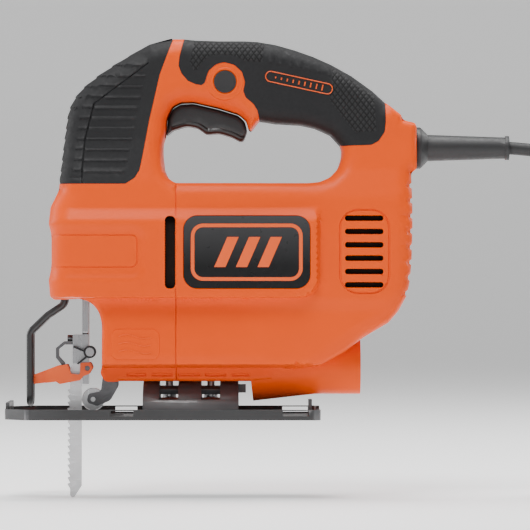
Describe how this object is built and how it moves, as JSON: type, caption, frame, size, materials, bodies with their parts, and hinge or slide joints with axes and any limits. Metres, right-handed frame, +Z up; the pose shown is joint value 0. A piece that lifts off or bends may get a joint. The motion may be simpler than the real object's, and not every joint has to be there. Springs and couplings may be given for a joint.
{
  "type": "jigsaw power tool",
  "caption": "Corded jigsaw with a closed top handle, tilting pressed shoe, tool-free blade clamp, guide roller, wire guard and rear dust duct.",
  "frame": {"origin": "centre of the tilting axis on the underside of the shoe, which is the face that rides on the work", "axes": "+Z up out of the sole, +X towards the lead, -X towards the nose and the blade, +Y to the tool's right"},
  "size_m": [0.4156, 0.097, 0.2472],
  "materials": {
    "orange_housing": "satin moulded plastic, orange",
    "soft_grip": "matt black overmoulded rubber",
    "black_plastic": "black moulded plastic",
    "badge_plate": "black badge with an orange ring and emblem",
    "duct_plastic": "satin moulded plastic, orange",
    "black_steel": "black coated pressed steel",
    "bright_steel": "machined steel",
    "blade_steel": "ground tool steel",
    "lever_plastic": "orange moulded plastic",
    "spring_wire": "black spring wire",
    "bearing_steel": "polished bearing steel",
    "lamination": "stacked steel laminations",
    "copper": "enamelled copper",
    "carbon": "carbon",
    "bronze": "sintered bronze",
    "clear_fan": "black nylon",
    "lead_sheath": "black rubber sheathed lead",
    "plug_body": "black moulded plug with plated pins"
  },
  "bodies": {
    "tool_body": {"front_housing_left": "orange_housing", "front_housing_right": "orange_housing", "rear_housing_left": "orange_housing", "rear_housing_right": "orange_housing", "nose_grip_left": "soft_grip", "nose_grip_right": "soft_grip", "handle_grip_left": "soft_grip", "handle_grip_right": "soft_grip", "badge_left": "badge_plate", "badge_right": "badge_plate", "dust_duct": "duct_plastic", "front_bearing": "bearing_steel", "rear_bearing": "bearing_steel", "stator_core": "lamination", "field_coils": "copper", "carbon_brushes": "carbon", "brush_holders": "black_plastic", "gear_spindle": "bright_steel", "gear_case_plate": "black_plastic", "lower_bush": "bronze", "upper_bush": "bronze", "arm_pivot_pin": "bright_steel", "guard_wire": "black_steel", "bevel_clamp_plate": "bright_steel", "bevel_clamp_screws": "bright_steel", "housing_screws": "bright_steel", "switch_body": "black_plastic", "strain_relief": "lead_sheath", "cord_clamp": "black_plastic", "mains_lead": "lead_sheath", "lead_coil": "lead_sheath", "coil_tie": "lead_sheath", "plug_lead": "lead_sheath", "mains_plug": "plug_body"},
    "shoe": {"shoe_plate": "black_steel", "bevel_saddle": "black_steel", "shoe_rivets": "black_steel"},
    "blade_bar": {"plunger": "bright_steel", "blade_clamp": "bright_steel", "clamp_bolt": "black_steel", "ejector_hook": "bright_steel", "clamp_spring": "spring_wire", "lever_pin": "bright_steel", "saw_blade": "blade_steel"},
    "blade_lever": {"clamp_lever": "lever_plastic"},
    "trigger_button": {"trigger": "black_plastic"},
    "lock": {"lock_button": "black_plastic"},
    "guide_arm": {"roller_arm": "bright_steel", "roller_pin": "bright_steel"},
    "guide_wheel": {"guide_roller": "bright_steel"},
    "armature": {"armature_shaft": "bright_steel", "armature_core": "lamination", "commutator": "copper", "cooling_fan": "clear_fan", "motor_pinion": "bright_steel"},
    "gear": {"drive_gear": "bright_steel", "crank_pin": "bright_steel"}
  },
  "joints": [
    {"name": "shoe_tilt", "type": "hinge", "parent": "tool_body", "child": "shoe", "pos_m": [0, 0, 0], "axis": [1, 0, 0], "range_deg": [-45, 45]},
    {"name": "blade_stroke", "type": "slide", "parent": "tool_body", "child": "blade_bar", "axis": [0, 0, 1], "range_m": [0, 0.019]},
    {"name": "clamp_lever_lift", "type": "hinge", "parent": "blade_bar", "child": "blade_lever", "pos_m": [-0.0416, 0, 0.027], "axis": [0, 1, 0], "range_deg": [0, 19], "stiffness_Nm_per_rad": 0.05, "springref_deg": -17.19},
    {"name": "trigger_pull", "type": "slide", "parent": "tool_body", "child": "trigger_button", "axis": [0, 0, 1], "range_m": [0, 0.005], "stiffness_N_per_m": 800, "springref_m": -0.004},
    {"name": "lock_press", "type": "slide", "parent": "tool_body", "child": "lock", "axis": [0, 1, 0], "range_m": [0, 0.003], "stiffness_N_per_m": 400, "springref_m": -0.003},
    {"name": "roller_arm_swing", "type": "hinge", "parent": "tool_body", "child": "guide_arm", "pos_m": [-0.0293, 0, 0.0245], "axis": [0, 1, 0], "range_deg": [-4, 0]},
    {"name": "roller_spin", "type": "hinge", "parent": "guide_arm", "child": "guide_wheel", "pos_m": [-0.0387, 0, 0.0102], "axis": [0, 1, 0], "continuous": true},
    {"name": "armature_spin", "type": "hinge", "parent": "tool_body", "child": "armature", "pos_m": [0, 0, 0.084], "axis": [1, 0, 0], "continuous": true},
    {"name": "gear_spin", "type": "hinge", "parent": "tool_body", "child": "gear", "pos_m": [0, 0, 0.11], "axis": [1, 0, 0], "continuous": true}
  ],
  "couplings": [
    {"joint": "gear_spin", "follows": "armature_spin", "ratio": -0.18182}
  ]
}
